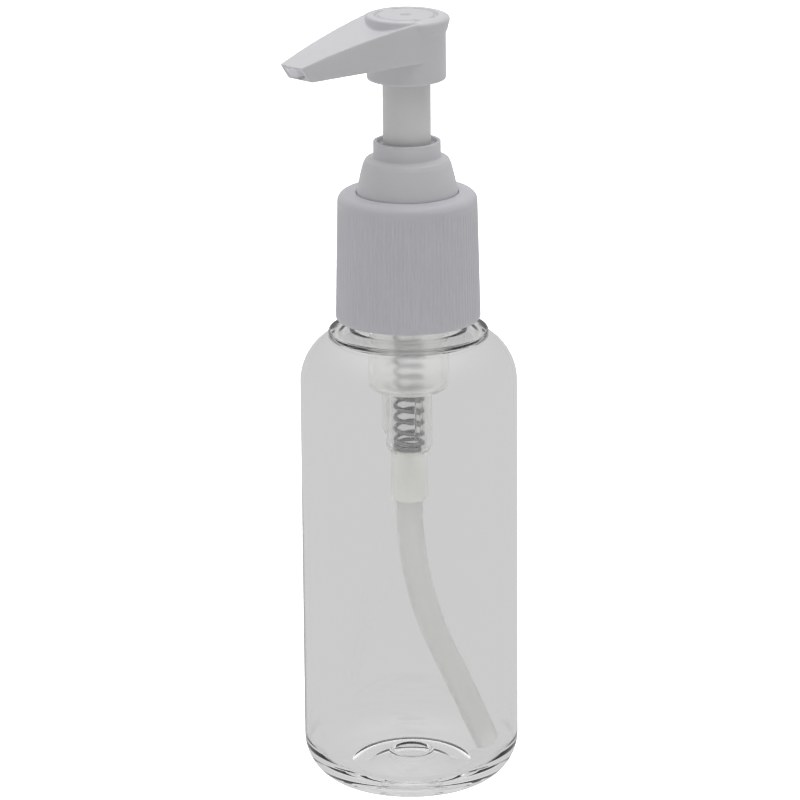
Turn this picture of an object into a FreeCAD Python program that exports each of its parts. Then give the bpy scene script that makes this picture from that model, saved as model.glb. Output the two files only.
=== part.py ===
import FreeCAD, Part
import math
import os

import Sketcher
from FreeCAD import Vector

# A 100 ml soap dispenser: a clear bottle with a screw closure and a hand pump.
# Origin on the bottle's axis at the plane it stands on, +Z up, spout along -Y, millimetres.

DIMENSIONS = {
    # bottle
    "bottle_rad": 20.5,
    "bottle_wall": 0.8,
    "heel_rad": 8.75,
    "foot_width": 0.85,
    "pushup_rise": 3.0,
    "pushup_arc": 17.0,
    "gate_rad": 4.3,
    "gate_step": 0.5,
    "floor_rad": 13.6,
    "floor_edge": 3.2,
    "floor_rise": 1.5,
    "floor_arc": 40.0,
    "shoulder_rad": 10.3,
    "shoulder_start": 79.0,
    "ledge_rad": 15.1,
    "ledge_top": 89.3,
    "neck_rad": 10.75,
    "neck_bore": 9.2,
    "neck_top": 111.4,
    "neck_foot_ease": 0.5,
    "rim_ease": 0.4,
    # screw thread shared by neck and closure
    "pitch": 3.175,
    "thread_turns": 1.5,
    "thread_foot": 104.4,
    "thread_tip": 11.95,
    "thread_crest": 0.7,
    "thread_root": 1.6,
    "nut_tip": 10.95,
    "nut_crest": 0.6,
    "nut_root": 1.3,
    "thread_sink": 0.15,
    # closure
    "closure_bottom": 91.5,
    "closure_foot_rad": 13.65,
    "closure_head_rad": 13.1,
    "closure_round": 1.8,
    "closure_bore": 12.25,
    "closure_hole": 9.6,
    "closure_foot_ease": 0.25,
    "closure_hole_ease": 0.2,
    "closure_corner": 0.4,
    "deck_thick": 1.35,
    # clamped stack on the neck
    "gasket_thick": 1.0,
    "gasket_clear": 0.2,
    "flange_thick": 1.0,
    "flange_rad": 11.5,
    "stack_gap": 0.05,
    # housing
    "cup_rad": 7.6,
    "cup_bore": 6.8,
    "cup_bottom": 77.4,
    "cup_round": 1.8,
    "barrel_rad": 4.4,
    "barrel_bore": 3.35,
    "barrel_lead": 0.4,
    "barrel_lead_rise": 0.6,
    "barrel_bottom": 65.2,
    "barrel_chamfer": 0.7,
    "barrel_chamfer_rise": 1.3,
    "spring_seat": 65.8,
    "socket_rad": 3.4,
    "socket_bottom": 55.8,
    "socket_ease": 0.2,
    "mouth_clear": 0.12,
    "mouth_depth": 2.7,
    "mouth_lead": 0.2,
    "tube_stop": 60.6,
    "seat_hole": 1.2,
    "seat_foot": 61.4,
    "seat_rise": 1.2,
    "ball_room": 2.3,
    "gusset_reach": 5.15,
    "gusset_thick": 0.8,
    "gusset_foot": 69.8,
    "gusset_slope": 1.5,
    "gusset_sink": 0.4,
    "gusset_turn": -26.0,
    "vent_rad": 0.5,
    "vent_level": 106.5,
    # dip tube
    "tube_rad": 2.5,
    "tube_bore": 1.9,
    "tube_bend_start": 54.0,
    "tube_bend_rad": 67.5,
    "tube_bend_angle": 24.5,
    "tube_run": 23.6,
    "tube_turn": 65.0,
    # check ball and spring
    "ball_rad": 1.7,
    "ball_clear": 0.01,
    "spring_mean": 2.6,
    "spring_wire": 0.7,
    "spring_pitch": 2.23,
    "spring_top": 94.9,
    # valve core
    "core_rad": 3.15,
    "core_top": 112.0,
    "core_flange_rad": 4.9,
    "core_flange_thick": 1.5,
    "core_nose_rad": 2.0,
    "core_nose_length": 4.9,
    "core_bevel": 0.5,
    "core_nose_bevel_rise": 0.8,
    "flute_width": 1.5,
    "flute_floor": 1.9,
    # piston
    "piston_clear": 0.05,
    "piston_height": 6.4,
    "piston_sleeve": 4.3,
    "piston_skirt": 5.9,
    "piston_skirt_flare": 0.2,
    "web_foot": 2.4,
    "web_top": 3.8,
    "waist_depth": 0.25,
    "low_lip_foot": 0.3,
    "low_lip_top": 0.8,
    "low_lip_slope": 1.4,
    "high_lip_slope": 1.2,
    "high_lip_foot": 0.6,
    "high_lip_top": 0.1,
    "valve_lag": 1.2,
    # stem
    "stem_rad": 4.5,
    "stem_bore": 3.2,
    "stem_top": 142.6,
    "stem_bevel": 0.3,
    "stop_rad": 5.5,
    "stop_thick": 1.3,
    "stop_slope": 0.6,
    # chaplet
    "guide_bore": 4.57,
    "guide_bottom": 108.9,
    "guide_lead": 0.3,
    "chaplet_clear": 0.2,
    "dome_foot_rad": 9.5,
    "dome_wall": 1.0,
    "dome_hollow": 5.0,
    "dome_hollow_taper": 0.4,
    "dome_lean": 0.5,
    "dome_round": 3.6,
    "dome_top": 122.5,
    "ring_root": 0.6,
    "ring_root_rise": 0.3,
    "ring_rad": 6.33,
    "ring_bore": 5.55,
    "ring_top": 125.6,
    "ring_ease": 0.15,
    "well_depth": 0.9,
    # head
    "skirt_bottom": 137.4,
    "skirt_rad": 7.4,
    "skirt_bore": 6.65,
    "skirt_ease": 0.15,
    "boss_rad": 5.3,
    "boss_bottom": 138.4,
    "cavity_top": 142.6,
    "spout_under": 141.7,
    "lip_rad": 8.15,
    "lip_height": 3.0,
    "lip_flare_end": 0.9,
    "lip_ease": 0.4,
    "lip_top": 149.3,
    "spout_reach": 30.4,
    "spout_slant": 2.6,
    "spout_tip_top": 144.9,
    "spout_half": 2.75,
    "saddle_floor": 147.8,
    "saddle_cross": 16.0,
    "saddle_crown": 141.7,
    "saddle_sweep": 15.0,
    "saddle_margin": 1.5,
    "pad_rad": 7.4,
    "pad_top": 149.5,
    "pad_foot_rad": 7.9,
    "pad_foot": 147.2,
    "pad_ease": 0.2,
    "channel_rad": 1.2,
    "channel_level": 143.1,
    "channel_roof": 0.3,
    "outlet_width": 3.9,
    "outlet_height": 1.8,
    "outlet_depth": 1.6,
    # how far a cutting shape runs past what it cuts
    "overrun": 1.0,
}

doc = FreeCAD.newDocument("soap_pump")
sheet = doc.addObject("Spreadsheet::Sheet", "dim")
for row, (alias, number) in enumerate(DIMENSIONS.items(), start=1):
    sheet.set(f"A{row}", alias)
    sheet.set(f"B{row}", str(number))
    sheet.setAlias(f"B{row}", alias)
doc.recompute()


def size(expression):
    """The number an expression on the sheet's cells stands for."""
    return float(sheet.evalExpression(str(expression)))


def make_body(label):
    """An empty body for one piece."""
    body = doc.addObject("PartDesign::Body", label)
    body.Label = label
    return body


def origin_plane(body, role):
    """One of the body's own origin planes."""
    return next(item for item in body.Origin.OriginFeatures if item.Role == role)


def make_sketch(body, name, plane="XZ_Plane", level=None):
    """A sketch on an origin plane, moved along the plane's normal by level."""
    sketch = body.newObject("Sketcher::SketchObject", name)
    sketch.AttachmentSupport = [(origin_plane(body, plane), "")]
    sketch.MapMode = "FlatFace"
    if level is not None:
        sketch.setExpression("AttachmentOffset.Base.z", str(level))
    doc.recompute()
    return sketch


def pin_point(sketch, geometry, end, across, along):
    """Hold a point at its distances from the sketch's origin, each bound to the sheet."""
    for kind, expression, axis in (("DistanceX", across, -2), ("DistanceY", along, -1)):
        value = size(expression)
        if abs(value) < 1e-9:
            sketch.addConstraint(Sketcher.Constraint("PointOnObject", geometry, end, axis))
            continue
        if value > 0:
            link = Sketcher.Constraint(kind, -1, 1, geometry, end, value)
            bound = str(expression)
        else:
            link = Sketcher.Constraint(kind, geometry, end, -1, 1, -value)
            bound = f"-({expression})"
        index = sketch.addConstraint(link)
        sketch.setExpression(f"Constraints[{index}]", bound)


def arc_between(start, end, radius, turn):
    """An arc of a given radius from start to end: turn is 1 anticlockwise and -1 clockwise."""
    chord = end - start
    half = chord.Length / 2
    offset = math.sqrt(max(radius * radius - half * half, 0.0))
    normal = Vector(-chord.y, chord.x, 0).normalize()
    centre = (start + end) / 2 + normal * offset * turn
    first, last = (start, end) if turn > 0 else (end, start)
    angles = [math.atan2(p.y - centre.y, p.x - centre.x) for p in (first, last)]
    circle = Part.Circle(centre, Vector(0, 0, 1), radius)
    return Part.ArcOfCircle(circle, angles[0], angles[1])


def draw_outline(sketch, corners):
    """A closed outline of corners.

    A corner is (across, along), or (across, along, radius, turn) when an arc leads on from it.
    """
    spots = [Vector(size(c[0]), size(c[1]), 0) for c in corners]
    ends = []
    for number, corner in enumerate(corners):
        start, end = spots[number], spots[(number + 1) % len(spots)]
        if len(corner) == 2:
            index = sketch.addGeometry(Part.LineSegment(start, end), False)
            ends.append((index, 1, 2))
            continue
        radius, turn = corner[2:]
        index = sketch.addGeometry(arc_between(start, end, size(radius), turn), False)
        ends.append((index, 1, 2) if turn > 0 else (index, 2, 1))
    for number, (index, _, finish) in enumerate(ends):
        following, begin, _ = ends[(number + 1) % len(ends)]
        sketch.addConstraint(Sketcher.Constraint("Coincident", index, finish, following, begin))
    for (index, begin, _), corner in zip(ends, corners):
        pin_point(sketch, index, begin, corner[0], corner[1])
    for (index, _, _), corner in zip(ends, corners):
        if len(corner) > 2:
            held = sketch.addConstraint(Sketcher.Constraint("Radius", index, size(corner[2])))
            sketch.setExpression(f"Constraints[{held}]", str(corner[2]))


def draw_circle(sketch, across, along, radius):
    """A circle whose place and radius are bound to the sheet."""
    circle = Part.Circle(Vector(size(across), size(along), 0), Vector(0, 0, 1), size(radius))
    index = sketch.addGeometry(circle, False)
    pin_point(sketch, index, 3, across, along)
    held = sketch.addConstraint(Sketcher.Constraint("Radius", index, size(radius)))
    sketch.setExpression(f"Constraints[{held}]", str(radius))


def turned(body, name, corners, cut=False):
    """Material turned about the Z axis from an outline in the XZ plane, or a groove cut that way."""
    sketch = make_sketch(body, f"{name}_outline")
    draw_outline(sketch, corners)
    kind = "PartDesign::Groove" if cut else "PartDesign::Revolution"
    feature = body.newObject(kind, name)
    feature.Profile = sketch
    feature.ReferenceAxis = (sketch, ["V_Axis"])
    feature.Angle = 360
    doc.recompute()
    return feature


def thread(body, name, corners):
    """A raised right-handed thread: the outline is swept along a helix about the Z axis."""
    sketch = make_sketch(body, f"{name}_outline")
    draw_outline(sketch, corners)
    helix = body.newObject("PartDesign::AdditiveHelix", name)
    helix.Profile = sketch
    helix.ReferenceAxis = (sketch, ["V_Axis"])
    helix.Mode = 0
    helix.setExpression("Pitch", "dim.pitch")
    helix.setExpression("Height", "dim.pitch * dim.thread_turns")
    doc.recompute()
    return helix


def wound_wire(body, name, pitch, rise):
    """A round wire wound left-handed about the Z axis."""
    wire = "dim.spring_wire / 2"
    sketch = make_sketch(body, f"{name}_section")
    draw_circle(sketch, "dim.spring_mean", f"dim.spring_seat + {wire}", wire)
    helix = body.newObject("PartDesign::AdditiveHelix", name)
    helix.Profile = sketch
    helix.ReferenceAxis = (sketch, ["V_Axis"])
    helix.Mode = 0
    helix.LeftHanded = True
    helix.setExpression("Pitch", pitch)
    helix.setExpression("Height", rise)
    doc.recompute()
    return helix


def lengthwise(feature, length, middle=False, reverse=False):
    """Sets how far a pad or pocket goes, and which way."""
    feature.setExpression("Length", str(length))
    feature.Midplane = middle
    feature.Reversed = reverse
    doc.recompute()


def around(body, feature, name, count):
    """Copies of a feature spaced evenly about the Z axis."""
    pattern = body.newObject("PartDesign::PolarPattern", name)
    pattern.Originals = [feature]
    pattern.Axis = (next(i for i in body.Origin.OriginFeatures if i.Role == "Z_Axis"), [""])
    pattern.Angle = 360
    pattern.Occurrences = count
    body.Tip = pattern
    doc.recompute()
    return pattern


def face_towards(body, angle):
    """Turn a piece about the Z axis by an angle on the sheet."""
    upright = FreeCAD.Rotation(Vector(0, 0, 1), 1)
    body.Placement = FreeCAD.Placement(Vector(0, 0, 0), upright)
    body.setExpression("Placement.Rotation.Angle", angle)


GASKET_BASE = "dim.neck_top"
FLANGE_BASE = "(dim.neck_top + dim.gasket_thick)"
CHAPLET_BASE = "(dim.neck_top + dim.gasket_thick + dim.flange_thick)"
CHAPLET_FLANGE_TOP = f"({CHAPLET_BASE} + dim.flange_thick)"
DECK_BASE = f"({CHAPLET_FLANGE_TOP} + dim.stack_gap)"
DECK_TOP = f"({DECK_BASE} + dim.deck_thick)"
CORE_SEAL = "(dim.spring_top + dim.core_flange_thick)"
STEM_BOTTOM = f"({CORE_SEAL} + dim.piston_height + dim.valve_lag + 2 * dim.piston_clear)"
MOUTH_TOP = "(dim.socket_bottom + dim.mouth_depth)"
GUSSET_COUNT = 3
FLUTE_COUNT = 4


def make_bottle():
    """The blow-moulded shell: push-up base, round heel and shoulder, ledge and threaded neck."""
    body = make_body("bottle")
    heel_centre = "dim.bottle_rad - dim.heel_rad"
    foot_inner = f"({heel_centre} - dim.foot_width)"
    pushup_edge = "(dim.pushup_rise - dim.gate_step)"
    inner_rad = "(dim.bottle_rad - dim.bottle_wall)"
    inner_heel = f"({inner_rad} - dim.floor_rad)"
    floor_top = "(dim.floor_edge + dim.floor_rise)"
    shoulder_centre = "(dim.bottle_rad - dim.shoulder_rad)"
    inner_shoulder = "(dim.shoulder_rad - dim.bottle_wall)"
    ledge_foot = (
        "dim.shoulder_start + sqrt(pow(dim.shoulder_rad; 2)"
        f" - pow(dim.ledge_rad - {shoulder_centre}; 2))"
    )
    turned(body, "bottle_shell", [
        (0, "dim.pushup_rise"),
        ("dim.gate_rad", "dim.pushup_rise"),
        ("dim.gate_rad", pushup_edge, "dim.pushup_arc", -1),
        (foot_inner, 0),
        (heel_centre, 0, "dim.heel_rad", 1),
        ("dim.bottle_rad", "dim.heel_rad"),
        ("dim.bottle_rad", "dim.shoulder_start", "dim.shoulder_rad", 1),
        ("dim.ledge_rad", ledge_foot),
        ("dim.ledge_rad", "dim.ledge_top"),
        ("dim.neck_rad + dim.neck_foot_ease", "dim.ledge_top"),
        ("dim.neck_rad", "dim.ledge_top + dim.neck_foot_ease"),
        ("dim.neck_rad", "dim.neck_top - dim.rim_ease"),
        ("dim.neck_rad - dim.rim_ease", "dim.neck_top"),
        ("dim.neck_bore", "dim.neck_top"),
        ("dim.neck_bore", "dim.shoulder_start + dim.shoulder_rad"),
        (shoulder_centre, f"dim.shoulder_start + {inner_shoulder}", inner_shoulder, -1),
        (inner_rad, "dim.shoulder_start"),
        (inner_rad, f"dim.floor_edge + {inner_heel}", inner_heel, -1),
        ("dim.floor_rad", "dim.floor_edge", "dim.floor_arc", 1),
        ("dim.gate_rad", floor_top),
        ("dim.gate_rad", f"{floor_top} + dim.gate_step / 2"),
        (0, f"{floor_top} + dim.gate_step / 2"),
    ])
    thread(body, "neck_thread", [
        ("dim.neck_rad - dim.thread_sink", "dim.thread_foot - dim.thread_root / 2"),
        ("dim.thread_tip", "dim.thread_foot - dim.thread_crest / 2"),
        ("dim.thread_tip", "dim.thread_foot + dim.thread_crest / 2"),
        ("dim.neck_rad - dim.thread_sink", "dim.thread_foot + dim.thread_root / 2"),
    ])
    return body


def make_closure():
    """The screw collar: skirt, deck with a round opening, and the thread inside the skirt."""
    body = make_body("closure")
    turned(body, "closure_shell", [
        ("dim.closure_bore", "dim.closure_bottom"),
        ("dim.closure_foot_rad - dim.closure_foot_ease", "dim.closure_bottom"),
        ("dim.closure_foot_rad", "dim.closure_bottom + dim.closure_foot_ease"),
        ("dim.closure_head_rad", f"{DECK_TOP} - dim.closure_round", "dim.closure_round", 1),
        ("dim.closure_head_rad - dim.closure_round", DECK_TOP),
        ("dim.closure_hole + dim.closure_hole_ease", DECK_TOP),
        ("dim.closure_hole", f"{DECK_TOP} - dim.closure_hole_ease"),
        ("dim.closure_hole", DECK_BASE),
        ("dim.closure_bore - dim.closure_corner", DECK_BASE),
        ("dim.closure_bore", f"{DECK_BASE} - dim.closure_corner"),
    ])
    nut_foot = "(dim.thread_foot - dim.pitch / 2)"
    thread(body, "closure_thread", [
        ("dim.nut_tip", f"{nut_foot} - dim.nut_crest / 2"),
        ("dim.closure_bore + dim.thread_sink", f"{nut_foot} - dim.nut_root / 2"),
        ("dim.closure_bore + dim.thread_sink", f"{nut_foot} + dim.nut_root / 2"),
        ("dim.nut_tip", f"{nut_foot} + dim.nut_crest / 2"),
    ])
    return body


def make_gasket():
    """The flat seal between the neck's rim and the pump's flange."""
    body = make_body("gasket")
    turned(body, "gasket_ring", [
        ("dim.cup_rad + dim.gasket_clear", GASKET_BASE),
        ("dim.flange_rad", GASKET_BASE),
        ("dim.flange_rad", FLANGE_BASE),
        ("dim.cup_rad + dim.gasket_clear", FLANGE_BASE),
    ])
    return body


def make_housing():
    """The pump cylinder: flange, wide cup, barrel round the spring, and the tube socket."""
    body = make_body("housing")
    wall = "(dim.cup_rad - dim.cup_bore)"
    inner_round = f"(dim.cup_round - {wall})"
    floor = f"(dim.cup_bottom + {wall})"
    turned(body, "housing_wall", [
        ("dim.cup_bore", CHAPLET_BASE),
        ("dim.cup_bore", f"{floor} + {inner_round}", inner_round, -1),
        (f"dim.cup_bore - {inner_round}", floor),
        ("dim.barrel_bore + dim.barrel_lead", floor),
        ("dim.barrel_bore", f"{floor} - dim.barrel_lead_rise"),
        ("dim.barrel_bore", "dim.spring_seat"),
        ("dim.ball_room", "dim.spring_seat"),
        ("dim.ball_room", "dim.seat_foot + dim.seat_rise"),
        ("dim.seat_hole", "dim.seat_foot"),
        ("dim.seat_hole", "dim.tube_stop"),
        ("dim.tube_rad", "dim.tube_stop"),
        ("dim.tube_rad", f"{MOUTH_TOP} + dim.mouth_lead"),
        ("dim.tube_rad + dim.mouth_clear", MOUTH_TOP),
        ("dim.tube_rad + dim.mouth_clear", "dim.socket_bottom"),
        ("dim.socket_rad - dim.socket_ease", "dim.socket_bottom"),
        ("dim.socket_rad", "dim.socket_bottom + dim.socket_ease"),
        ("dim.socket_rad", "dim.barrel_bottom"),
        ("dim.barrel_rad - dim.barrel_chamfer", "dim.barrel_bottom"),
        ("dim.barrel_rad", "dim.barrel_bottom + dim.barrel_chamfer_rise"),
        ("dim.barrel_rad", "dim.cup_bottom"),
        ("dim.cup_rad - dim.cup_round", "dim.cup_bottom", "dim.cup_round", 1),
        ("dim.cup_rad", "dim.cup_bottom + dim.cup_round"),
        ("dim.cup_rad", FLANGE_BASE),
        ("dim.flange_rad", FLANGE_BASE),
        ("dim.flange_rad", CHAPLET_BASE),
    ])
    sketch = make_sketch(body, "gusset_outline")
    draw_outline(sketch, [
        ("dim.barrel_rad - dim.gusset_sink", "dim.gusset_foot - dim.gusset_slope"),
        ("dim.barrel_rad", "dim.gusset_foot - dim.gusset_slope"),
        ("dim.gusset_reach", "dim.gusset_foot"),
        ("dim.gusset_reach", "dim.cup_bottom + dim.gusset_sink"),
        ("dim.barrel_rad - dim.gusset_sink", "dim.cup_bottom + dim.gusset_sink"),
    ])
    gusset = body.newObject("PartDesign::Pad", "gusset")
    gusset.Profile = sketch
    lengthwise(gusset, "dim.gusset_thick", middle=True)
    around(body, gusset, "gussets", GUSSET_COUNT)
    hole_sketch = make_sketch(body, "vent_outline")
    draw_circle(hole_sketch, 0, "dim.vent_level", "dim.vent_rad")
    vent = body.newObject("PartDesign::Pocket", "vent")
    vent.Profile = hole_sketch
    lengthwise(vent, "dim.flange_rad")
    face_towards(body, "dim.gusset_turn")
    return body


def make_dip_tube():
    """The suction tube: a short straight end in the socket, one gentle bend, and a straight run."""
    body = make_body("dip_tube")
    angle = math.radians(size("dim.tube_bend_angle"))
    bend = size("dim.tube_bend_rad")
    run = size("dim.tube_run")
    top = Vector(0, size("dim.tube_stop"), 0)
    start = Vector(0, size("dim.tube_bend_start"), 0)
    end = start + Vector(bend * (1 - math.cos(angle)), -bend * math.sin(angle), 0)
    foot = end + Vector(run * math.sin(angle), -run * math.cos(angle), 0)
    path = make_sketch(body, "tube_path")
    upper = path.addGeometry(Part.LineSegment(top, start), False)
    curve = path.addGeometry(arc_between(start, end, bend, 1), False)
    lower = path.addGeometry(Part.LineSegment(end, foot), False)
    path.addConstraint(Sketcher.Constraint("Tangent", upper, 2, curve, 1))
    path.addConstraint(Sketcher.Constraint("Tangent", curve, 2, lower, 1))
    pin_point(path, upper, 1, 0, "dim.tube_stop")
    pin_point(path, upper, 2, 0, "dim.tube_bend_start")
    for link, expression in (
        (Sketcher.Constraint("Radius", curve, bend), "dim.tube_bend_rad"),
        (Sketcher.Constraint("Distance", lower, run), "dim.tube_run"),
    ):
        path.setExpression(f"Constraints[{path.addConstraint(link)}]", expression)
    lean = "dim.tube_bend_rad * (1 - cos(dim.tube_bend_angle * 1 deg))"
    index = path.addConstraint(Sketcher.Constraint("DistanceX", -1, 1, curve, 2, end.x))
    path.setExpression(f"Constraints[{index}]", lean)
    section = make_sketch(body, "tube_section", "XY_Plane", "dim.tube_stop")
    draw_circle(section, 0, 0, "dim.tube_rad")
    draw_circle(section, 0, 0, "dim.tube_bore")
    pipe = body.newObject("PartDesign::AdditivePipe", "tube_sweep")
    pipe.Profile = section
    pipe.Spine = path
    doc.recompute()
    face_towards(body, "dim.tube_turn")
    return body


def make_ball():
    """The check ball, resting on its conical seat."""
    ball = doc.addObject("Part::Sphere", "ball")
    ball.Label = "ball"
    ball.setExpression("Radius", "dim.ball_rad")
    widening = size("dim.ball_room - dim.seat_hole")
    rise = size("dim.seat_rise")
    slant = math.hypot(widening, rise)
    lift = (size("dim.ball_rad") * slant / rise - size("dim.seat_hole")) * rise / widening
    ball.Placement.Base = Vector(0, 0, size("dim.seat_foot + dim.ball_clear") + lift)
    return ball


def make_spring():
    """The return spring between the housing's seat and the valve core."""
    body = make_body("spring")
    rise = "dim.spring_top - dim.spring_seat - dim.spring_wire"
    wound_wire(body, "coil", "dim.spring_pitch", rise)
    return body


def make_valve_core():
    """The plug in the stem: nose inside the spring, sealing flange, and a fluted shaft."""
    body = make_body("valve_core")
    nose_foot = "(dim.spring_top - dim.core_nose_length)"
    turned(body, "core_blank", [
        (0, nose_foot),
        ("dim.core_nose_rad - dim.core_bevel", nose_foot),
        ("dim.core_nose_rad", f"{nose_foot} + dim.core_nose_bevel_rise"),
        ("dim.core_nose_rad", "dim.spring_top"),
        ("dim.core_flange_rad", "dim.spring_top"),
        ("dim.core_flange_rad", f"{CORE_SEAL} - dim.core_bevel"),
        ("dim.core_flange_rad - dim.core_bevel", CORE_SEAL),
        ("dim.core_rad", CORE_SEAL),
        ("dim.core_rad", "dim.core_top - dim.core_bevel"),
        ("dim.core_rad - dim.core_bevel", "dim.core_top"),
        (0, "dim.core_top"),
    ])
    sketch = make_sketch(body, "flute_outline", "XY_Plane", CORE_SEAL)
    draw_outline(sketch, [
        ("dim.flute_floor", "-dim.flute_width / 2"),
        ("dim.core_rad + dim.overrun", "-dim.flute_width / 2"),
        ("dim.core_rad + dim.overrun", "dim.flute_width / 2"),
        ("dim.flute_floor", "dim.flute_width / 2"),
    ])
    flute = body.newObject("PartDesign::Pocket", "flute")
    flute.Profile = sketch
    lengthwise(flute, f"dim.core_top - {CORE_SEAL} + dim.overrun", reverse=True)
    around(body, flute, "flutes", FLUTE_COUNT)
    return body


def make_piston():
    """The sliding seal: a sleeve on the core's shaft and a skirt with an upper and a lower lip."""
    body = make_body("piston")
    base = f"({CORE_SEAL} + dim.piston_clear)"
    top = f"({base} + dim.piston_height)"
    lip = "(dim.cup_bore - dim.piston_clear)"
    waist = f"({lip} - dim.waist_depth)"
    bore = "dim.core_rad + dim.piston_clear"
    skirt_root = "dim.piston_skirt - dim.piston_skirt_flare"
    turned(body, "piston_body", [
        (bore, base),
        ("dim.piston_sleeve", base),
        ("dim.piston_sleeve", f"{base} + dim.web_foot"),
        (skirt_root, f"{base} + dim.web_foot"),
        ("dim.piston_skirt", f"{base} + dim.low_lip_foot"),
        (lip, f"{base} + dim.low_lip_foot"),
        (lip, f"{base} + dim.low_lip_top"),
        (waist, f"{base} + dim.low_lip_slope"),
        (waist, f"{top} - dim.high_lip_slope"),
        (lip, f"{top} - dim.high_lip_foot"),
        (lip, f"{top} - dim.high_lip_top"),
        ("dim.piston_skirt", f"{top} - dim.high_lip_top"),
        (skirt_root, f"{base} + dim.web_top"),
        ("dim.piston_sleeve", f"{base} + dim.web_top"),
        ("dim.piston_sleeve", top),
        (bore, top),
    ])
    return body


def make_stem():
    """The hollow rod between the piston and the head, with the ring that stops it at the top."""
    body = make_body("stem")
    stop_top = "(dim.guide_bottom - dim.stack_gap)"
    stop_foot = f"({stop_top} - dim.stop_thick)"
    turned(body, "stem_tube", [
        ("dim.stem_bore", STEM_BOTTOM),
        ("dim.stem_rad - dim.stem_bevel", STEM_BOTTOM),
        ("dim.stem_rad", f"{STEM_BOTTOM} + dim.stem_bevel"),
        ("dim.stem_rad", f"{stop_foot} - dim.stop_slope"),
        ("dim.stop_rad", stop_foot),
        ("dim.stop_rad", stop_top),
        ("dim.stem_rad", stop_top),
        ("dim.stem_rad", "dim.stem_top"),
        ("dim.stem_bore", "dim.stem_top"),
    ])
    return body


def make_chaplet():
    """The domed guide collar: sleeve in the housing, flange under the closure's deck, lock ring."""
    body = make_body("chaplet")
    sleeve = "(dim.cup_bore - dim.stack_gap)"
    hollow_foot_rad = "(dim.dome_foot_rad - dim.dome_wall)"
    hollow_top = f"({CHAPLET_BASE} + dim.dome_hollow)"
    flange = "(dim.flange_rad - dim.chaplet_clear)"
    well = "(dim.ring_top - dim.well_depth)"
    turned(body, "chaplet_body", [
        ("dim.guide_bore", "dim.guide_bottom"),
        (sleeve, "dim.guide_bottom"),
        (sleeve, hollow_top),
        (f"{hollow_foot_rad} - dim.dome_hollow_taper", hollow_top),
        (hollow_foot_rad, CHAPLET_BASE),
        (flange, CHAPLET_BASE),
        (flange, CHAPLET_FLANGE_TOP),
        ("dim.dome_foot_rad", CHAPLET_FLANGE_TOP),
        ("dim.dome_foot_rad", f"{DECK_TOP} + 2 * dim.stack_gap"),
        ("dim.dome_foot_rad - dim.dome_lean", "dim.dome_top - dim.dome_round", "dim.dome_round", 1),
        ("dim.ring_rad + dim.ring_root", "dim.dome_top - 2 * dim.stack_gap"),
        ("dim.ring_rad", "dim.dome_top + dim.ring_root_rise"),
        ("dim.ring_rad", "dim.ring_top - dim.ring_ease"),
        ("dim.ring_rad - dim.ring_ease", "dim.ring_top"),
        ("dim.ring_bore + dim.ring_ease", "dim.ring_top"),
        ("dim.ring_bore", "dim.ring_top - dim.ring_ease"),
        ("dim.ring_bore", well),
        ("dim.guide_bore + dim.guide_lead", well),
        ("dim.guide_bore", f"{well} - dim.guide_lead"),
    ])
    return body


def spout_blank(body):
    """The spout's plan raised to the head's full height: a round rear and sides tapering to the tip."""
    reach = size("dim.spout_reach")
    half = size("dim.spout_half")
    round_rad = size("dim.skirt_rad")
    touch = math.acos(round_rad / math.hypot(reach, half)) + math.atan2(half, reach)
    side = round_rad * math.sin(touch)
    front = round_rad * math.cos(touch)
    plan = make_sketch(body, "head_plan", "XY_Plane", "dim.spout_under")
    draw_outline(plan, [
        ("dim.spout_half", "-dim.spout_reach"),
        (side, -front, "dim.skirt_rad", 1),
        (0, "dim.skirt_rad", "dim.skirt_rad", 1),
        (-side, -front),
        ("-dim.spout_half", "-dim.spout_reach"),
    ])
    blank = body.newObject("PartDesign::Pad", "head_blank")
    blank.Profile = plan
    lengthwise(blank, "dim.lip_top - dim.spout_under")


def slanted_tip(body):
    """The spout's end face leans back under the tip."""
    outside = "(-dim.spout_reach - dim.overrun)"
    below = "(dim.spout_under - dim.overrun)"
    slant = make_sketch(body, "tip_slant", "YZ_Plane")
    draw_outline(slant, [
        (outside, below),
        ("-dim.spout_reach + dim.spout_slant", below),
        ("-dim.spout_reach + dim.spout_slant", "dim.spout_under"),
        ("-dim.spout_reach", "dim.spout_tip_top"),
        (outside, "dim.spout_tip_top"),
    ])
    tip = body.newObject("PartDesign::Pocket", "tip_cut")
    tip.Profile = slant
    lengthwise(tip, "4 * dim.lip_rad", middle=True)


def removed_rear(body):
    """Whether the groove in the spout's top went to the rear of the head."""
    rear = Vector(0, size("dim.skirt_rad - dim.overrun"), size("dim.lip_top - dim.lip_ease"))
    return not body.Shape.isInside(rear, 1e-6, True)


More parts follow.
